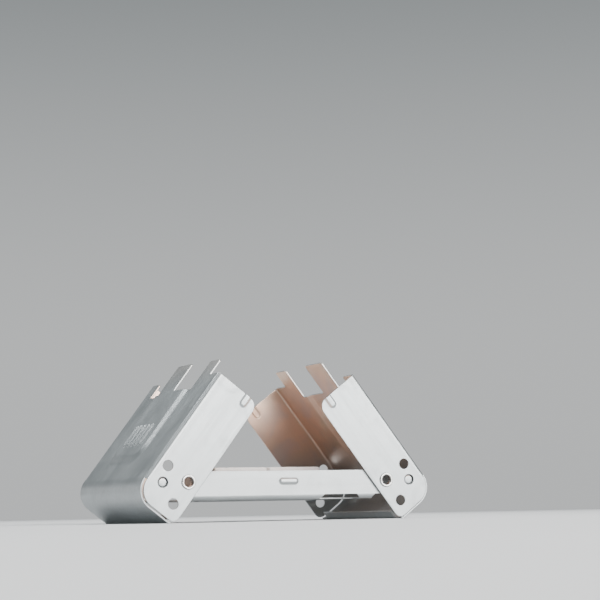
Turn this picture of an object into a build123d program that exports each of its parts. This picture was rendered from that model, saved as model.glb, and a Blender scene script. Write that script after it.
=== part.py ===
from build123d import *
import os
from math import sin, cos, radians

# Folding pocket stove of pressed sheet steel, in its half-open cooking position.
# Frame: X along the tray, Y across it, Z up. The feet stand on Z = 0 and the
# origin is the middle of the footprint. All lengths are in millimetres.

# ---- driving dimensions ----
t = 0.6              # sheet thickness
span = 85.16         # distance between the two pivot lines
W = 77.0             # outside width of a wing
h = 15.2             # wing: pivot line up to the outside of the cover (folded shut)
b = 5.12             # wing: pivot line down to the lower edge of a side plate
c = 41.85            # wing: pivot line to the inner end of a side plate
e = 17.26            # wing: pivot line to the outside of the end wall
ev = 3.7            # wing: pivot line down to the foot edge of the end wall
R_end = 8.3          # outside radius of the bend from cover to end wall
R_side = 1.6         # outside radius of the bends from cover to side plates
slit = 0.45          # slit between a side plate's end and the end wall
wall_inset = 0.9     # end wall stands in from the side plates' outer faces
lip = 4.2            # foot lip turned in along the end wall's lower edge
lip_half = 32.0      # half length of the foot lip
R_foot = 1.0         # outside radius of the foot bend
tip = 49.5           # wing: pivot line to the tips of the support tabs
rise = 0.9           # height of the pressed panel in the cover
theta = 52.6         # opening angle of the wings in this position (shut = 0)

# plan positions across the wing, measured from its near side plate
tab_a = (10.2, 20.6)     # narrow support tab
tab_b = (39.2, 55.3)     # wide support tab
notch_mid = 35.3         # depth line of the notch between the supports
notch_far = 34.3         # depth line of the notch beside the wide support
notch_far_edge = 67.3
panel_y = (27.6, 57.6)   # flat of the pressed panel
panel_u0 = 3.0           # lower end of the pressed panel's flat
slope = 4.6              # width of the panel's sloping border
panel_steps = 6          # contours across that border
R_panel = 5.0            # corner radius of the panel's flat
nub_l, nub_w = 10.8, 3.7 # closing nub over its foot, before it is trimmed
nub_slope = 1.15         # width of its rounded flank
nub_h = 0.42             # its height

# pivots and click stops
r_pitch = 10.42      # stop holes lie on this radius about the pivot
r_stop = 2.13        # stop hole radius
r_head = 2.9         # eyelet head radius
r_tube = 2.3         # eyelet tube outer radius
r_bore = 1.86        # eyelet bore radius
play = 0.05          # running clearance of a wing on its eyelet
head_t = 0.5         # eyelet head thickness
head_gap = 0.08      # eyelet head clear of the wing

# tray
gap = 0.45                       # tray flange clear of the wing's side plate
Wt = W - 2 * t - 2 * gap         # outside width of the tray
tray_top = 4.1                   # flange top above the pivot line
tray_bot = -7.25                 # floor underside below the pivot line
R_tray = 1.8                     # outside radius of the tray's bends
floor_half = 40.5                # half length of the floor
arm_low = -5.45                  # lower edge of the arms beyond the floor
bump_h = 0.35                    # height of the pressed stops and dimples
dimple_l, dimple_w = 8.6, 3.0    # middle dimple over its foot
dimple_slope = 1.2               # width of its rounded flank
arm_end = r_pitch + 3.4         # arm end beyond the pivot line

# fuel tablets
tab_x, tab_y, tab_z = 23.0, 34.5, 12.75
tab_gap = 0.6

th = radians(theta)
px = -span / 2                                   # left pivot line
# the foot bend is round, so its lowest point is a little above the sharp corner
low_u, low_w = -e + R_foot, -ev + R_foot
pz = -(low_u * sin(th) + low_w * cos(th)) + R_foot

U = Vector(cos(th), 0, sin(th))                  # along the wing, towards its inner end
N = Vector(-sin(th), 0, cos(th))                 # out of the wing's cover


def wing_point(u, y, w):
    return Vector(px, 0, pz) + U * u + Vector(0, y, 0) + N * w


def side_plane(y, outward=-1):
    """Plane of the wing's side profile at width y; local x runs along the wing."""
    return Plane(origin=wing_point(0, y, 0), x_dir=U, z_dir=(0, outward, 0))


def plan_plane(w):
    """Plane parallel to the cover at height w; local x along the wing, local y = Y."""
    return Plane(origin=wing_point(0, 0, w), x_dir=U, z_dir=N)


def yc(y):
    return y - W / 2


us = -e + R_end                                  # start of the end bend
pitch_c = (us, h - R_end)                        # centre of the end bend
stop_deg = (180.0, 180.0 - theta, 90.0)          # shut, half open, upright

# ---------------------------------------------------------------- left wing
with BuildPart() as left_wing:
    # cover and side plates: a channel along the wing
    with BuildSketch(Plane(origin=wing_point(us, 0, 0), x_dir=(0, 1, 0), z_dir=U)) as chan:
        with Locations((0, -b)):
            Rectangle(W, h + b, align=(Align.CENTER, Align.MIN))
        fillet(chan.vertices().group_by(Axis.Y)[-1], R_side)
        with BuildSketch(mode=Mode.PRIVATE) as chan_in:
            with Locations((0, -b - 1)):
                Rectangle(W - 2 * t, h - t + b + 1, align=(Align.CENTER, Align.MIN))
            fillet(chan_in.vertices().group_by(Axis.Y)[-1], R_side - t)
        add(chan_in.sketch, mode=Mode.SUBTRACT)
    extrude(amount=c - us)
    # end bend, end wall and foot lip
    with BuildSketch(side_plane(0)) as strip:
        with BuildLine():
            l1 = Line((us + 1, h), (us, h))
            a1 = CenterArc(pitch_c, R_end, 90, 90)
            l2 = Line((-e, h - R_end), (-e, -ev + R_foot))
            a2 = CenterArc((-e + R_foot, -ev + R_foot), R_foot, 180, 90)
            l3 = Polyline((-e + R_foot, -ev), (-e + lip, -ev), (-e + lip, -ev + t),
                          (-e + R_foot, -ev + t))
            a3 = CenterArc((-e + R_foot, -ev + R_foot), R_foot - t, 270, -90)
            l4 = Line((-e + t, -ev + R_foot), (-e + t, h - R_end))
            a4 = CenterArc(pitch_c, R_end - t, 180, -90)
            l5 = Polyline((us, h - t), (us + 1, h - t), (us + 1, h))
        make_face()
    extrude(amount=W / 2 - wall_inset, both=True)
    # side plates beyond the start of the end bend
    ue = -e + t + slit
    for y in (-W / 2, W / 2 - t):
        with BuildSketch(side_plane(y)) as plate:
            with BuildLine():
                Polyline((us + 1, h - t - slit), (us + 1, -b), (ue, -b), (ue, h - R_end))
                CenterArc(pitch_c, R_end - t - slit, 180, -90)
                Line((us, h - t - slit), (us + 1, h - t - slit))
            make_face()
            fillet(plate.vertices().sort_by_distance((ue, -b))[0], 3.0)
        extrude(amount=-t)
    # flat strip that carries the supports beyond the side plates
    with BuildSketch(plan_plane(h - t)):
        with Locations(((c + tip) / 2, 0)):
            Rectangle(tip - c + 4, W - 2 * 3.0)
    extrude(amount=t)
    # pressed panel: raised outside, hollow inside, with softly curved borders
    y0, y1 = yc(panel_y[0]), yc(panel_y[1])
    for base, mode in ((h, Mode.ADD), (h - t, Mode.SUBTRACT)):
        for k in range(panel_steps + 1):
            f = k / panel_steps
            out = slope * (1 - f)                    # how far this contour lies outside the flat
            with BuildSketch(plan_plane(base + rise * f * f * (3 - 2 * f))):
                with Locations(((panel_u0 - out + 66) / 2, (y0 + y1) / 2)):
                    RectangleRounded(66 - panel_u0 + out, y1 - y0 + 2 * out, R_panel + out)
        loft(ruled=True, mode=mode)
    # outline of the inner end: two support tabs and the notches between them
    with BuildSketch(plan_plane(h + 4)) as out:
        with BuildLine():
            Polyline(
                (c, yc(-2)), (c, yc(tab_a[0])), (tip, yc(tab_a[0])), (tip, yc(tab_a[1])),
                (notch_mid, yc(tab_a[1])), (notch_mid, yc(tab_b[0])), (tip, yc(tab_b[0])),
                (tip, yc(tab_b[1])), (notch_far, yc(tab_b[1])), (notch_far, yc(notch_far_edge)),
                (c, yc(notch_far_edge)), (c, yc(W + 2)), (70, yc(W + 2)), (70, yc(-2)), (c, yc(-2)))
        make_face()
        fillet([v for v in out.vertices() if abs(v.X - tip) < 0.01 or (
            notch_far - 0.01 < v.X < notch_mid + 0.01) or (
            abs(v.X - c) < 0.01 and abs(v.Y - yc(notch_far_edge)) < 0.01)], 0.9)
        fillet([v for v in out.vertices() if abs(v.X - c) < 0.01 and
                abs(v.Y - yc(tab_a[0])) < 0.01], 0.5)
    extrude(amount=-(4 + t + 1.5), mode=Mode.SUBTRACT)
    # round lower inner corners of the side plates
    fillet(left_wing.edges().filter_by(Axis.Y).sort_by_distance(
        wing_point(c, -W / 2 + t / 2, -b))[0], 4.0)
    fillet(left_wing.edges().filter_by(Axis.Y).sort_by_distance(
        wing_point(c, W / 2 - t / 2, -b))[0], 4.0)
    # pivot holes and click-stop holes, through both side plates
    with BuildSketch(side_plane(0)):
        Circle(r_tube + play)
        with PolarLocations(0, 1):
            for d in stop_deg:
                with Locations((r_pitch * cos(radians(d)), r_pitch * sin(radians(d)))):
                    Circle(r_stop)
    extrude(amount=W, both=True, mode=Mode.SUBTRACT)
    # closing nubs: short rounded channels pressed outwards at the inner ends
    for s in (-1, 1):
        for skin, mode in ((0, Mode.ADD), (t, Mode.SUBTRACT)):
            for k in range(panel_steps + 1):
                f = k / panel_steps
                with BuildSketch(side_plane(s * (W / 2 - skin + nub_h * f * f * (3 - 2 * f)), s)):
                    with Locations((c, 0)):
                        SlotOverall(nub_l - 2 * nub_slope * f, nub_w - 2 * nub_slope * f)
            loft(ruled=True, mode=mode)
    with BuildSketch(side_plane(0)) as trim:
        with Locations((c, 0)):
            Rectangle(8, 8, align=(Align.MIN, Align.CENTER))
    extrude(amount=W, both=True, mode=Mode.SUBTRACT)
    # foot lip is shorter than the end wall, with rounded ends
    for s in (-1, 1):
        with BuildSketch(plan_plane(-ev - 1)) as lipcut:
            with Locations((-e + R_foot + 4, s * (lip_half + W / 2 - t - 0.1) / 2)):
                Rectangle(8, W / 2 - t - 0.1 - lip_half)
            fillet(lipcut.vertices().sort_by_distance((-e + R_foot, s * lip_half))[0], 1.0)
        extrude(amount=1 + t + 0.3, mode=Mode.SUBTRACT)
    # plain ribs pressed in the middle of the panel
    with BuildSketch(plan_plane(h + rise)) as ribs:
        with Locations((12.5, yc(42.6))):
            with GridLocations(0, 4.6, 1, 5):
                SlotOverall(11.0, 1.7)
    extrude(amount=0.45, taper=35)
left_wing.part.label = "left_wing"

# --------------------------------------------------------------- right wing
# the same pressing turned half a turn about the vertical
with BuildPart() as right_wing:
    add(left_wing.part.rotate(Axis.Z, 180))
right_wing.part.label = "right_wing"

# ---------------------------------------------------------------- base tray
yo = Wt / 2
with BuildPart() as base_tray:
    with BuildSketch(Plane(origin=(px - arm_end, 0, pz), x_dir=(0, 1, 0), z_dir=(1, 0, 0))) as sec:
        with Locations((0, tray_bot)):
            Rectangle(Wt, tray_top - tray_bot, align=(Align.CENTER, Align.MIN))
        fillet(sec.vertices().group_by(Axis.Y)[0], R_tray)
        with BuildSketch(mode=Mode.PRIVATE) as sec_in:
            with Locations((0, tray_bot + t)):
                Rectangle(Wt - 2 * t, tray_top - tray_bot + 1, align=(Align.CENTER, Align.MIN))
            fillet(sec_in.vertices().group_by(Axis.Y)[0], R_tray - t)
        add(sec_in.sketch, mode=Mode.SUBTRACT)
    extrude(amount=span + 2 * arm_end)
    # floor stops short of the arms
    for s in (-1, 1):
        with BuildSketch(Plane(origin=(0, 0, pz), x_dir=(1, 0, 0), z_dir=(0, -1, 0))):
            with Locations((s * (floor_half + 15), tray_bot - 1)):
                Rectangle(30, arm_low - tray_bot + 1, align=(Align.CENTER, Align.MIN))
        extrude(amount=W, both=True, mode=Mode.SUBTRACT)
        # rounded arm ends
        with BuildSketch(Plane(origin=(s * (span / 2 + arm_end), 0, pz), x_dir=(s, 0, 0),
                               z_dir=(0, -s, 0))) as ends:
            with Locations((-4.1, 0)):
                Rectangle(6, 14, align=(Align.MIN, Align.CENTER))
                Circle(4.1, mode=Mode.SUBTRACT)
            with Locations((-4.1 - 0.01, -5.0)):
                Rectangle(0.01, 0.01)
        extrude(amount=W, both=True, mode=Mode.SUBTRACT)
    # air windows along one long bend, and the same half a turn round
    for s in (-1, 1):
        with BuildSketch(Plane(origin=(0, s * (yo + 1), pz), x_dir=(-s, 0, 0),
                               z_dir=(0, s, 0))) as win:
            with BuildLine():
                Polyline((15.7, arm_low), (29.9, arm_low), (32.6, tray_bot - 1),
                         (12.4, tray_bot - 1), (15.7, arm_low))
            make_face()
            with BuildLine():
                Polyline((38.0, arm_low), (60, arm_low), (60, tray_bot - 1),
                         (35.4, tray_bot - 1), (38.0, arm_low))
            make_face()
        extrude(amount=-9.0, mode=Mode.SUBTRACT)
    # eyelet holes
    with BuildSketch(Plane(origin=(0, 0, pz), x_dir=(1, 0, 0), z_dir=(0, -1, 0))):
        with GridLocations(span, 0, 2, 1):
            Circle(r_tube)
    extrude(amount=W, both=True, mode=Mode.SUBTRACT)
    # pressed stops for the wings
    for s in (-1, 1):
        with BuildSketch(Plane(origin=(0, s * yo, pz), x_dir=(-s, 0, 0), z_dir=(0, s, 0))):
            with GridLocations(span + 2 * r_pitch, 0, 2, 1):
                Circle(1.9)
        extrude(amount=bump_h, taper=35)
        with BuildSketch(Plane(origin=(0, s * (yo - t), pz), x_dir=(-s, 0, 0), z_dir=(0, s, 0))):
            with GridLocations(span + 2 * r_pitch, 0, 2, 1):
                Circle(1.5)
        extrude(amount=bump_h, taper=30, mode=Mode.SUBTRACT)
    # a rounded dimple in the middle of each flange, for the closing nubs
    for s in (-1, 1):
        for skin, mode in ((0, Mode.ADD), (t, Mode.SUBTRACT)):
            for k in range(panel_steps + 1):
                f = k / panel_steps
                with BuildSketch(Plane(origin=(0, s * (yo - skin + bump_h * f * f * (3 - 2 * f)), pz),
                                       x_dir=(-s, 0, 0), z_dir=(0, s, 0))):
                    SlotOverall(dimple_l - 2 * dimple_slope * f, dimple_w - 2 * dimple_slope * f)
            loft(ruled=True, mode=mode)
base_tray.part.label = "base_tray"

# ------------------------------------------------------------------ eyelets
yw = W / 2                                        # outer face of the side plates
yi = yo - t                                       # inner face of the tray flanges
with BuildPart() as rivet_front_left:
    # ring section turned about the pivot line: rolled outer head, tube, rolled inner head
    with BuildSketch(Plane(origin=(px, 0, pz), x_dir=(1, 0, 0), z_dir=(0, 0, 1))) as ring:
        y_out = -yw - head_gap
        r_mid = (r_bore + r_head) / 2
        with BuildLine():
            Line((r_bore, y_out), (r_bore, -yi))
            ThreePointArc((r_bore, -yi), (r_mid, -yi + head_t), (r_head, -yi))
            Polyline((r_head, -yi), (r_tube, -yi), (r_tube, y_out), (r_head, y_out))
            ThreePointArc((r_head, y_out), (r_mid, y_out - head_t), (r_bore, y_out))
        make_face()
    revolve(axis=Axis((px, 0, pz), (0, 1, 0)), revolution_arc=360)
rivet_front_left.part.label = "rivet_front_left"

with BuildPart() as rivet_front_right:
    add(rivet_front_left.part.moved(Location((span, 0, 0))))
rivet_front_right.part.label = "rivet_front_right"

with BuildPart() as rivet_back_right:
    add(rivet_front_left.part.rotate(Axis.Z, 180))
rivet_back_right.part.label = "rivet_back_right"

with BuildPart() as rivet_back_left:
    add(rivet_front_right.part.rotate(Axis.Z, 180))
rivet_back_left.part.label = "rivet_back_left"

# ------------------------------------------------------------- fuel tablets
floor_top = pz + tray_bot + t
with BuildPart() as fuel_tablet_left:
    with BuildSketch(Plane.XY.offset(floor_top)):
        with Locations((-(tab_x + tab_gap) / 2, 0)):
            RectangleRounded(tab_x, tab_y, 0.8)
    extrude(amount=tab_z)
    chamfer(fuel_tablet_left.faces().sort_by(Axis.Z)[-1].edges(), 0.5)
    chamfer(fuel_tablet_left.faces().sort_by(Axis.Z)[0].edges(), 0.5)
    # break groove across the middle of the top
    with BuildSketch(Plane(origin=(0, 0, floor_top + tab_z), x_dir=(0, 1, 0), z_dir=(1, 0, 0))):
        with BuildLine():
            Polyline((-1.0, 0.2), (1.0, 0.2), (0.25, -0.9), (-0.25, -0.9), (-1.0, 0.2))
        make_face()
    extrude(amount=60, both=True, mode=Mode.SUBTRACT)
fuel_tablet_left.part.label = "fuel_tablet_left"

with BuildPart() as fuel_tablet_right:
    add(fuel_tablet_left.part.rotate(Axis.Z, 180))
fuel_tablet_right.part.label = "fuel_tablet_right"

os.makedirs("parts", exist_ok=True)
export_step(left_wing.part, "parts/left_wing.step")
export_step(right_wing.part, "parts/right_wing.step")
export_step(base_tray.part, "parts/base_tray.step")
export_step(rivet_front_left.part, "parts/rivet_front_left.step")
export_step(rivet_front_right.part, "parts/rivet_front_right.step")
export_step(rivet_back_left.part, "parts/rivet_back_left.step")
export_step(rivet_back_right.part, "parts/rivet_back_right.step")
export_step(fuel_tablet_left.part, "parts/fuel_tablet_left.step")
export_step(fuel_tablet_right.part, "parts/fuel_tablet_right.step")
print("pivot height", round(pz, 3))
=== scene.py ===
import math

import bmesh
import bpy
from mathutils import Matrix, Vector, noise


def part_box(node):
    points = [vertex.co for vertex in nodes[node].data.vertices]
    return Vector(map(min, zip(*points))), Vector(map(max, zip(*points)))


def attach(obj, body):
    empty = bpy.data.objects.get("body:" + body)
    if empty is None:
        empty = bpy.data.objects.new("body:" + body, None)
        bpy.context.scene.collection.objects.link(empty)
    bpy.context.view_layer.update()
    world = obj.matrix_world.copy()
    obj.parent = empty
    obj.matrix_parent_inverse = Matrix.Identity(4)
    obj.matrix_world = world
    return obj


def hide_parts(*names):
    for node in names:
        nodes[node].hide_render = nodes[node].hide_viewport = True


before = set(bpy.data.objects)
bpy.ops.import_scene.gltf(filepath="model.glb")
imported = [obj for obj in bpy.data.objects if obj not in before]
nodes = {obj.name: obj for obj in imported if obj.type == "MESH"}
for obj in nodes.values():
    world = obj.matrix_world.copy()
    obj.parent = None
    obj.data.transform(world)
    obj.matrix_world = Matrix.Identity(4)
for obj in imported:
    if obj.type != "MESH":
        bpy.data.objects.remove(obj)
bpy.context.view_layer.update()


# ---------------------------------------------------------------- dimensions
THETA = math.radians(52.6)          # opening angle of the wings at rest
PIVOT_X = 0.04258
PIVOT_Z = 0.015557
FLANGE_Y = 0.03745                  # outer face of the tray's flanges
STOP_R = 0.01042                    # click stops lie this far beyond the pivots

# -------------------------------------------------------------------- camera
yaw, pitch, roll = math.radians(24.66), math.radians(6.88), math.radians(-1.15)
fwd = Vector((math.sin(yaw) * math.cos(pitch), math.cos(yaw) * math.cos(pitch), math.sin(pitch)))
right = Vector((math.cos(yaw), -math.sin(yaw), 0.0))
up = right.cross(fwd)
r2 = right * math.cos(roll) + up * math.sin(roll)
u2 = -right * math.sin(roll) + up * math.cos(roll)
cam_data = bpy.data.cameras.new("camera")
cam_data.sensor_fit = "AUTO"
cam_data.sensor_width = 36.0
cam_data.lens = 1753.07 / 600.0 * 36.0
cam_data.clip_start = 0.02
cam_data.clip_end = 50.0
cam = bpy.data.objects.new("camera", cam_data)
bpy.context.scene.collection.objects.link(cam)
cam.matrix_world = Matrix(((r2.x, u2.x, -fwd.x, -0.28425),
                           (r2.y, u2.y, -fwd.y, -0.67061),
                           (r2.z, u2.z, -fwd.z, 0.003487),
                           (0, 0, 0, 1)))
bpy.context.scene.camera = cam

# --------------------------------------------------------------- node helpers


class Mat:
    """A small builder for procedural materials."""

    def __init__(self, name):
        self.m = bpy.data.materials.new(name)
        self.m.use_nodes = True
        self.t = self.m.node_tree
        self.t.nodes.clear()
        self.out = self.t.nodes.new("ShaderNodeOutputMaterial")
        self.bsdf = self.t.nodes.new("ShaderNodeBsdfPrincipled")
        self.t.links.new(self.bsdf.outputs[0], self.out.inputs[0])
        self.coord = self.t.nodes.new("ShaderNodeTexCoord")

    def link(self, a, b):
        self.t.links.new(a, b)

    def node(self, kind, **sets):
        n = self.t.nodes.new(kind)
        for k, v in sets.items():
            setattr(n, k, v)
        return n

    def mapping(self, rot=(0, 0, 0), scale=(1, 1, 1), loc=(0, 0, 0)):
        n = self.node("ShaderNodeMapping")
        n.inputs["Rotation"].default_value = rot
        n.inputs["Scale"].default_value = scale
        n.inputs["Location"].default_value = loc
        self.link(self.coord.outputs["Object"], n.inputs["Vector"])
        return n.outputs["Vector"]

    def noise(self, vec, scale, detail=2.0, rough=0.5, distortion=0.0):
        n = self.node("ShaderNodeTexNoise")
        n.inputs["Scale"].default_value = scale
        n.inputs["Detail"].default_value = detail
        n.inputs["Roughness"].default_value = rough
        n.inputs["Distortion"].default_value = distortion
        self.link(vec, n.inputs["Vector"])
        return n.outputs["Fac"]

    def voronoi(self, vec, scale, feature="F1"):
        n = self.node("ShaderNodeTexVoronoi", feature=feature)
        n.inputs["Scale"].default_value = scale
        self.link(vec, n.inputs["Vector"])
        return n

    def ramp(self, fac, lo, hi, a=0.0, b=1.0, smooth=False):
        n = self.node("ShaderNodeMapRange")
        if smooth:
            n.interpolation_type = "SMOOTHSTEP"
        n.inputs["From Min"].default_value = lo
        n.inputs["From Max"].default_value = hi
        n.inputs["To Min"].default_value = a
        n.inputs["To Max"].default_value = b
        self.link(fac, n.inputs["Value"])
        return n.outputs["Result"]

    def math(self, op, a, b=None, clamp=False):
        n = self.node("ShaderNodeMath", operation=op, use_clamp=clamp)
        for i, v in enumerate((a, b)):
            if v is None:
                continue
            if isinstance(v, (int, float)):
                n.inputs[i].default_value = v
            else:
                self.link(v, n.inputs[i])
        return n.outputs[0]

    def mix(self, fac, a, b):
        n = self.node("ShaderNodeMix", data_type="RGBA")
        for sock, v in ((n.inputs["Factor"], fac), (n.inputs[6], a), (n.inputs[7], b)):
            if isinstance(v, (int, float)):
                sock.default_value = v
            elif isinstance(v, tuple):
                sock.default_value = (*v, 1.0)
            else:
                self.link(v, sock)
        return n.outputs[2]

    def bevel_edge(self, radius, samples=8):
        """Edge mask from rounded against true normals, and the rounded normal."""
        bev = self.node("ShaderNodeBevel", samples=samples)
        bev.inputs["Radius"].default_value = radius
        geo = self.node("ShaderNodeNewGeometry")
        dot = self.node("ShaderNodeVectorMath", operation="DOT_PRODUCT")
        self.link(bev.outputs[0], dot.inputs[0])
        self.link(geo.outputs["Normal"], dot.inputs[1])
        mask = self.ramp(dot.outputs["Value"], 0.995, 0.86)
        return mask, bev.outputs[0]

    def bump(self, height, strength, distance, normal=None):
        n = self.node("ShaderNodeBump")
        n.inputs["Strength"].default_value = strength
        n.inputs["Distance"].default_value = distance
        self.link(height, n.inputs["Height"])
        if normal is not None:
            self.link(normal, n.inputs["Normal"])
        return n.outputs[0]


def zinc_sheet(name, tilt, flame_facing_normal=None, tint=(0.412, 0.438, 0.444), heat_and_flame_light_z=(0.010, 0.038)):
    """Zinc-coated sheet: satin, faint mill streaks, cloudy patches, edges lightened partly as wear and partly as
    painted highlight, and warm heat colours on the inner faces that partly stand in for painted flame light."""
    k = Mat(name)
    rot = k.mapping(rot=(0, tilt, 0))
    streak_v = k.node("ShaderNodeMapping")
    streak_v.inputs["Scale"].default_value = (14.0, 900.0, 900.0)
    k.link(rot, streak_v.inputs["Vector"])
    streak = k.noise(streak_v.outputs[0], 1.0, 3.0, 0.6)
    cloud = k.noise(rot, 55.0, 4.0, 0.55, 0.4)
    patch = k.noise(rot, 16.0, 2.0, 0.5)
    fine = k.noise(rot, 2600.0, 2.0, 0.6)
    spangle = k.voronoi(rot, 520.0)
    sp = k.ramp(spangle.outputs["Distance"], 0.0, 0.9)
    scratch_v = k.node("ShaderNodeMapping")
    scratch_v.inputs["Rotation"].default_value = (0.0, 0.0, 0.22)
    scratch_v.inputs["Scale"].default_value = (45.0, 2600.0, 2600.0)
    k.link(rot, scratch_v.inputs["Vector"])
    scratch = k.ramp(k.noise(scratch_v.outputs[0], 1.0, 2.0, 0.5, 0.3), 0.66, 0.74)
    scratch = k.math("MULTIPLY", scratch, k.ramp(cloud, 0.42, 0.62))
    smudge = k.ramp(k.noise(rot, 90.0, 5.0, 0.65, 1.2), 0.52, 0.68, 0.0, 1.0, True)
    edge, bevn = k.bevel_edge(0.00030)
    # colour
    dark = tuple(v * 0.90 for v in tint)
    light = tuple(min(v * 1.07, 1.0) for v in tint)
    col = k.mix(k.ramp(cloud, 0.3, 0.7), dark, light)
    col = k.mix(k.math("MULTIPLY", k.ramp(streak, 0.35, 0.75), 0.30), col, tuple(v * 0.84 for v in tint))
    col = k.mix(k.math("MULTIPLY", sp, 0.10), col, (0.39, 0.43, 0.46))
    col = k.mix(k.math("MULTIPLY", scratch, 0.35), col, (0.60, 0.61, 0.61))
    col = k.mix(k.math("MULTIPLY", smudge, 0.16), col, tuple(v * 0.80 for v in tint))
    if flame_facing_normal is not None:
        nrm = k.node("ShaderNodeVectorMath", operation="DOT_PRODUCT")
        k.link(k.coord.outputs["Normal"], nrm.inputs[0])
        nrm.inputs[1].default_value = flame_facing_normal
        facing = k.ramp(nrm.outputs["Value"], 0.2, 0.8)
        sep = k.node("ShaderNodeSeparateXYZ")
        k.link(k.coord.outputs["Object"], sep.inputs[0])
        # inward faces of the side plates
        nsep = k.node("ShaderNodeSeparateXYZ")
        k.link(k.coord.outputs["Normal"], nsep.inputs[0])
        turn = k.math("MULTIPLY", nsep.outputs["Y"], k.math("MULTIPLY", sep.outputs["Y"], 27.0))
        inward = k.ramp(turn, -0.35, -0.85, 0.0, 0.85)
        facing = k.math("MAXIMUM", facing, inward)
        height = k.ramp(sep.outputs["Z"], heat_and_flame_light_z[0], heat_and_flame_light_z[1], 0.0, 1.0, True)
        blot = k.ramp(cloud, 0.25, 0.75, 0.55, 1.0)
        # painted flame light: the warm heat colours on the faces facing the flame partly stand in for the flame's
        # orange light
        heat_and_flame_light = k.math("MULTIPLY", k.math("MULTIPLY", facing, height), blot)
        warm = k.mix(k.ramp(patch, 0.35, 0.65), (1.0, 0.66, 0.44), (0.94, 0.60, 0.45))
        # temper clouds: straw in the middle of a patch, plum at its rim
        temper = k.noise(rot, 34.0, 3.0, 0.5, 0.9)
        warm = k.mix(k.math("MULTIPLY", k.ramp(temper, 0.50, 0.66, 0.0, 1.0, True), 0.55), warm, (0.70, 0.55, 0.56))
        warm = k.mix(k.math("MULTIPLY", k.ramp(temper, 0.42, 0.30, 0.0, 1.0, True), 0.50), warm, (0.93, 0.76, 0.56))
        col = k.mix(k.math("MULTIPLY", heat_and_flame_light, 0.88), col, warm)
        # the tips also colour on the outside
        tips = k.ramp(sep.outputs["Z"], 0.052, 0.066, 0.0, 0.30, True)
        col = k.mix(k.math("MULTIPLY", tips, blot), col, (0.56, 0.42, 0.33))
    # edges lightened: part edge wear, part painted highlight
    col = k.mix(k.math("MULTIPLY", edge, 0.50), col, (0.74, 0.74, 0.73))
    k.link(col, k.bsdf.inputs["Base Color"])
    k.bsdf.inputs["Metallic"].default_value = 0.92
    rough = k.math("ADD", k.ramp(cloud, 0.3, 0.7, 0.33, 0.43), k.ramp(streak, 0.3, 0.7, -0.03, 0.05))
    rough = k.math("SUBTRACT", rough, k.math("MULTIPLY", edge, 0.08))
    rough = k.math("ADD", rough, k.math("MULTIPLY", smudge, 0.07))
    rough = k.math("SUBTRACT", rough, k.math("MULTIPLY", scratch, 0.06))
    k.link(rough, k.bsdf.inputs["Roughness"])
    h = k.math("ADD", k.math("MULTIPLY", fine, 0.5), k.math("MULTIPLY", streak, 0.35))
    h = k.math("ADD", h, k.math("MULTIPLY", cloud, 1.3))
    h = k.math("SUBTRACT", h, k.math("MULTIPLY", scratch, 0.25))
    k.link(k.bump(h, 0.30, 0.00012, bevn), k.bsdf.inputs["Normal"])
    return k.m


def plated(name):
    """Bright plated eyelet metal."""
    k = Mat(name)
    vec = k.mapping()
    cloud = k.noise(vec, 400.0, 3.0, 0.6)
    fine = k.noise(vec, 3500.0, 2.0, 0.5)
    edge, bevn = k.bevel_edge(0.00018)
    col = k.mix(k.ramp(cloud, 0.3, 0.7), (0.70, 0.69, 0.67), (0.84, 0.84, 0.83))
    # edges lightened: part wear, part painted highlight
    col = k.mix(k.math("MULTIPLY", edge, 0.5), col, (0.95, 0.95, 0.94))
    # painted shade where the rim meets the sheet and down the bore
    sep = k.node("ShaderNodeSeparateXYZ")
    k.link(k.coord.outputs["Object"], sep.inputs[0])
    dx = k.math("SUBTRACT", k.math("ABSOLUTE", sep.outputs["X"]), PIVOT_X)
    dz = k.math("SUBTRACT", sep.outputs["Z"], PIVOT_Z)
    rad = k.math("SQRT", k.math("ADD", k.math("MULTIPLY", dx, dx), k.math("MULTIPLY", dz, dz)))
    rim_shade = k.ramp(rad, 0.00262, 0.00290, 0.0, 0.75, True)
    bore_shade = k.ramp(rad, 0.00212, 0.00188, 0.0, 0.85, True)
    painted_rim_and_bore_shade = k.math("MAXIMUM", rim_shade, bore_shade)
    col = k.mix(painted_rim_and_bore_shade, col, (0.12, 0.105, 0.095))
    k.link(col, k.bsdf.inputs["Base Color"])
    k.bsdf.inputs["Metallic"].default_value = 1.0
    k.link(k.ramp(cloud, 0.3, 0.7, 0.22, 0.34), k.bsdf.inputs["Roughness"])
    k.link(k.bump(fine, 0.2, 0.00006, bevn), k.bsdf.inputs["Normal"])
    return k.m


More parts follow.
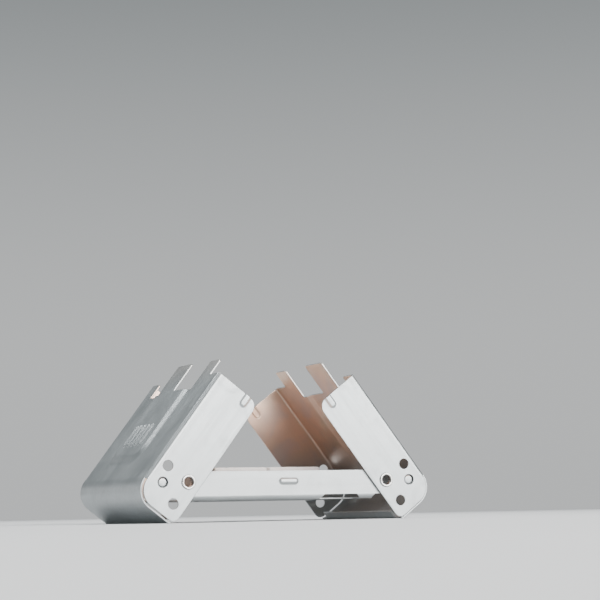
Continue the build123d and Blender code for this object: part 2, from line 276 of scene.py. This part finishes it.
def chalk(name):
    """Pressed fuel powder: chalky white, fine grain, small pits, warmer at worn edges."""
    k = Mat(name)
    vec = k.mapping()
    grain = k.noise(vec, 2200.0, 4.0, 0.7)
    blot = k.noise(vec, 120.0, 3.0, 0.6)
    pit = k.voronoi(vec, 900.0)
    pits = k.ramp(pit.outputs["Distance"], 0.0, 0.32)
    edge, bevn = k.bevel_edge(0.0006)
    speck = k.voronoi(vec, 1500.0)
    pick = k.node("ShaderNodeSeparateColor")
    k.link(speck.outputs["Color"], pick.inputs[0])
    specks = k.math("MULTIPLY", k.ramp(pick.outputs[0], 0.80, 0.88),
                    k.ramp(speck.outputs["Distance"], 0.45, 0.20))
    col = k.mix(k.ramp(blot, 0.3, 0.7), (0.84, 0.775, 0.735), (0.93, 0.885, 0.855))
    col = k.mix(k.math("MULTIPLY", k.ramp(grain, 0.42, 0.70), 0.45), col, (0.74, 0.68, 0.64))
    col = k.mix(k.math("MULTIPLY", specks, 0.55), col, (0.66, 0.62, 0.60))
    col = k.mix(k.math("MULTIPLY", k.ramp(pits, 0.35, 0.0), 0.40), col, (0.62, 0.57, 0.53))
    col = k.mix(k.math("MULTIPLY", edge, 0.35), col, (0.95, 0.91, 0.88))
    k.link(col, k.bsdf.inputs["Base Color"])
    k.link(k.ramp(blot, 0.3, 0.7, 0.72, 0.88), k.bsdf.inputs["Roughness"])
    k.bsdf.inputs["Subsurface Weight"].default_value = 0.08
    k.bsdf.inputs["Subsurface Radius"].default_value = (0.002, 0.0016, 0.0012)
    k.bsdf.inputs["Subsurface Scale"].default_value = 0.5
    h = k.math("ADD", k.math("MULTIPLY", grain, 0.8), k.math("MULTIPLY", pits, 0.6))
    k.link(k.bump(h, 0.8, 0.00045, bevn), k.bsdf.inputs["Normal"])
    return k.m


def dress(obj, mat):
    obj.data.materials.clear()
    obj.data.materials.append(mat)


c, s = math.cos(THETA), math.sin(THETA)
left_mat = zinc_sheet("left_wing_sheet", THETA, flame_facing_normal=(s, 0, -c))
right_mat = zinc_sheet("right_wing_sheet", -THETA, flame_facing_normal=(-s, 0, -c))
tray_mat = zinc_sheet("tray_sheet", 0.0, flame_facing_normal=(0, 0, 1), tint=(0.418, 0.441, 0.446),
                      heat_and_flame_light_z=(0.003, 0.020))
dress(nodes["left_wing"], left_mat)
dress(nodes["right_wing"], right_mat)
dress(nodes["base_tray"], tray_mat)
plate_mat = plated("eyelet_plating")
for n in ("rivet_front_left", "rivet_front_right", "rivet_back_left", "rivet_back_right"):
    dress(nodes[n], plate_mat)
for n in ("left_wing", "right_wing", "base_tray", "rivet_front_left", "rivet_front_right",
          "rivet_back_left", "rivet_back_right"):
    me = nodes[n].data
    me.shade_smooth()
    me.set_sharp_from_angle(angle=math.radians(32))


def add_mesh(name, bm, mat, body, smooth=True):
    me = bpy.data.meshes.new(name)
    bmesh.ops.recalc_face_normals(bm, faces=bm.faces)
    bm.to_mesh(me)
    bm.free()
    ob = bpy.data.objects.new(name, me)
    bpy.context.scene.collection.objects.link(ob)
    if smooth:
        me.shade_smooth()
    me.materials.append(mat)
    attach(ob, body)
    return ob


# ------------------------------------- pressed stops and dimples
def swell(d, shoulder, height, crown):
    """Height of a rounded pressing at distance d inside its outline."""
    if d <= 0:
        return 0.0
    f = min(1.0, d / shoulder)
    if crown == 0.0:                    # soft foot, as on a shallow pressing
        return height * f * f * (3 - 2 * f)
    return height * math.sin(f * math.pi / 2) ** 0.8 + crown * (1 - math.exp(-d / shoulder))


def pressing(name, origin, ax, ay, an, half_len, r, shoulder, height, crown, mat, body, cut=None):
    """A rounded pressing on a sheet: a closed lens whose back is sunk in the sheet.
    ax runs along it, ay across it, an out of the sheet; cut trims it at that distance
    along ax, where the sheet ends."""
    bm = bmesh.new()
    rings, seg = 16, 64
    loops = []
    for i in range(rings):
        rad = r * (1.0 - i / rings)
        z = swell(r - rad, shoulder, height, crown)
        loop = []
        for j in range(seg):
            a = 2 * math.pi * (j + 0.5) / seg
            cx = half_len if math.cos(a) > 0 else -half_len
            x, y = cx + rad * math.cos(a), rad * math.sin(a)
            if cut is not None:
                x = min(x, cut)
            loop.append(bm.verts.new(origin + ax * x + ay * y + an * z))
        loops.append(loop)
    for la, lb in zip(loops[:-1], loops[1:]):
        for j in range(seg):
            bm.faces.new((la[j], la[(j + 1) % seg], lb[(j + 1) % seg], lb[j]))
    # crown, closed along its middle line
    top = loops[-1]
    q = seg // 4
    ztop = swell(r, shoulder, height, crown)
    pos = bm.verts.new(origin + ax * min(half_len, cut if cut is not None else half_len) + an * ztop)
    if half_len > 0:
        neg = bm.verts.new(origin - ax * half_len + an * ztop)
    else:
        neg = pos
    for j in range(seg):
        k = (j + 1) % seg
        ja, ka = (j < q or j >= 3 * q), (k < q or k >= 3 * q)
        va, vb = (pos if ja else neg), (pos if ka else neg)
        if va is vb:
            bm.faces.new((top[j], top[k], va))
        else:
            bm.faces.new((top[j], top[k], vb, va))
    # back, sunk in the sheet
    low = [bm.verts.new(v.co - an * 0.00012) for v in loops[0]]
    for j in range(seg):
        bm.faces.new((loops[0][(j + 1) % seg], loops[0][j], low[j], low[(j + 1) % seg]))
    bm.faces.new(low)
    bmesh.ops.remove_doubles(bm, verts=bm.verts, dist=1e-8)
    bmesh.ops.dissolve_degenerate(bm, dist=1e-8, edges=bm.edges)
    return add_mesh(name, bm, mat, body)


X, Z = Vector((1, 0, 0)), Vector((0, 0, 1))
for tag, side in (("front", -1), ("back", 1)):
    out = Vector((0, side, 0))
    for end, sx in (("left", -1), ("right", 1)):
        pressing(f"stop_{tag}_{end}", Vector((sx * (PIVOT_X + STOP_R), side * FLANGE_Y, PIVOT_Z)),
                 X, Z, out, 0.0, 0.00196, 0.00062, 0.00047, 0.00012, tray_mat, "tray")
    pressing(f"dimple_{tag}", Vector((0, side * FLANGE_Y, PIVOT_Z)),
             X, Z, out, 0.00280, 0.00152, 0.00120, 0.00044, 0.0, tray_mat, "tray")

# rounded ribs on the covers' panels
for end, sx, mat in (("left", -1, left_mat), ("right", 1, right_mat)):
    along = Vector((-sx * c, 0, s))
    across = Vector((0, -sx, 0))
    out = Vector((sx * s, 0, c))
    for i in range(5):
        mid = 0.0426 - 0.0385 + (i - 2) * 0.0046
        pressing(f"rib_{end}_{i + 1}",
                 Vector((sx * PIVOT_X, 0, PIVOT_Z)) + along * 0.0125 - across * mid * -1 + out * 0.0161,
                 along, across, out, 0.00465, 0.00102, 0.00080, 0.00052, 0.00012, mat,
                 f"{end}_wing")


# ------------------------------------------------------------- fuel tablets
def tablet(name, node, seed):
    lo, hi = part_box(node)
    mid = (lo + hi) / 2
    half = (hi - lo) / 2
    r = 0.0009
    step = 0.00065
    nx, ny, nz = (max(4, round(2 * v / step)) for v in half)
    bm = bmesh.new()
    cache = {}

    def vert(i, j, k):
        key = (i, j, k)
        if key in cache:
            return cache[key]
        p = Vector((-half.x + 2 * half.x * i / nx, -half.y + 2 * half.y * j / ny,
                    -half.z + 2 * half.z * k / nz))
        core = Vector((max(-half.x + r, min(half.x - r, p.x)),
                       max(-half.y + r, min(half.y - r, p.y)),
                       max(-half.z + r, min(half.z - r, p.z))))
        d = p - core
        n = d.normalized() if d.length > 1e-9 else Vector((0, 0, 0))
        if d.length > 1e-9:
            p = core + n * r
        # break groove across the top
        if p.z > half.z - 2 * r:
            gy = abs(p.y) / 0.0012
            if gy < 1:
                p.z -= 0.00095 * (0.5 + 0.5 * math.cos(gy * math.pi)) ** 0.8
        # crumbly surface, with chips along the edges
        w = (p + mid) * 1000.0 + Vector((seed, 0, 0))
        edge = sum(1 for a, b in ((abs(p.x), half.x), (abs(p.y), half.y), (abs(p.z), half.z)) if a > b - 1.6 * r)
        amp = 0.00004
        if edge >= 2:
            chip = max(0.0, noise.noise(w * 0.42) - 0.08) * 1.6 + max(0.0, noise.noise(w * 1.3) - 0.25)
            amp += 0.0005 * chip
        p = p - (n if n.length else Vector((0, 0, 0))) * amp * (1.0 + 0.6 * noise.noise(w * 2.1))
        cache[key] = bm.verts.new(p + mid)
        return cache[key]

    for k in (0, nz):
        for i in range(nx):
            for j in range(ny):
                bm.faces.new((vert(i, j, k), vert(i + 1, j, k), vert(i + 1, j + 1, k), vert(i, j + 1, k)))
    for j in (0, ny):
        for i in range(nx):
            for k in range(nz):
                bm.faces.new((vert(i, j, k), vert(i + 1, j, k), vert(i + 1, j, k + 1), vert(i, j, k + 1)))
    for i in (0, nx):
        for j in range(ny):
            for k in range(nz):
                bm.faces.new((vert(i, j, k), vert(i, j + 1, k), vert(i, j + 1, k + 1), vert(i, j, k + 1)))
    ob = add_mesh(name, bm, fuel_mat, "tray")
    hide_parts(node)
    return ob


fuel_mat = chalk("fuel_chalk")
tablet("tablet_left", "fuel_tablet_left", 3.1)
tablet("tablet_right", "fuel_tablet_right", 41.7)

# --------------------------------------------------------------------- stage
floor_mat = Mat("floor_pale")
fv = floor_mat.mapping()
fn = floor_mat.noise(fv, 3.0, 3.0, 0.5)
floor_mat.link(floor_mat.mix(floor_mat.ramp(fn, 0.3, 0.7), (0.77, 0.775, 0.78), (0.80, 0.805, 0.81)),
               floor_mat.bsdf.inputs["Base Color"])
floor_mat.bsdf.inputs["Roughness"].default_value = 0.85
bm = bmesh.new()
bmesh.ops.create_circle(bm, cap_ends=True, radius=1.3, segments=192)
me = bpy.data.meshes.new("floor")
bm.to_mesh(me)
bm.free()
floor = bpy.data.objects.new("floor", me)
bpy.context.scene.collection.objects.link(floor)
me.materials.append(floor_mat.m)

world = bpy.data.worlds.new("studio")
bpy.context.scene.world = world
world.use_nodes = True
wt = world.node_tree
bg = wt.nodes["Background"]
wc = wt.nodes.new("ShaderNodeTexCoord")
wsep = wt.nodes.new("ShaderNodeSeparateXYZ")
wt.links.new(wc.outputs["Generated"], wsep.inputs[0])
wr = wt.nodes.new("ShaderNodeMapRange")
wr.interpolation_type = "SMOOTHSTEP"
wr.inputs["From Min"].default_value = 0.07
wr.inputs["From Max"].default_value = 0.40
wt.links.new(wsep.outputs["Z"], wr.inputs["Value"])
wm = wt.nodes.new("ShaderNodeMix")
wm.data_type = "RGBA"
wm.inputs[6].default_value = (0.600, 0.615, 0.620, 1.0)
wm.inputs[7].default_value = (0.185, 0.209, 0.218, 1.0)
wt.links.new(wr.outputs["Result"], wm.inputs["Factor"])
wt.links.new(wm.outputs[2], bg.inputs[0])
bg.inputs[1].default_value = 1.0


def softbox(name, loc, target, size, power, color=(1, 1, 1)):
    d = bpy.data.lights.new(name, "AREA")
    d.shape = "RECTANGLE"
    d.size, d.size_y = size
    d.energy = power
    d.color = color
    o = bpy.data.objects.new(name, d)
    bpy.context.scene.collection.objects.link(o)
    o.location = loc
    o.rotation_euler = (Vector(target) - Vector(loc)).to_track_quat("-Z", "Y").to_euler()
    return o


softbox("key", (0.60, -1.38, 0.52), (0, 0, 0.06), (1.5, 0.86), 50.0, (1.0, 0.984, 0.968))
softbox("fill_top", (-0.50, -0.30, 1.15), (0, 0, 0.03), (0.9, 0.9), 6.5, (0.98, 0.99, 1.0))
softbox("over_back", (0.25, 0.32, 1.2), (0.20, 0.30, 0.0), (0.9, 0.7), 9.0, (0.98, 0.99, 1.0))
softbox("low_back", (-0.9, 0.95, 0.22), (0, 0, 0.0), (0.9, 0.3), 0.9, (0.98, 0.99, 1.0))
softbox("edge_light", (-0.44, 0.82, 0.93), (0, 0, 0.03), (0.26, 0.26), 3.6, (0.97, 0.99, 1.0))
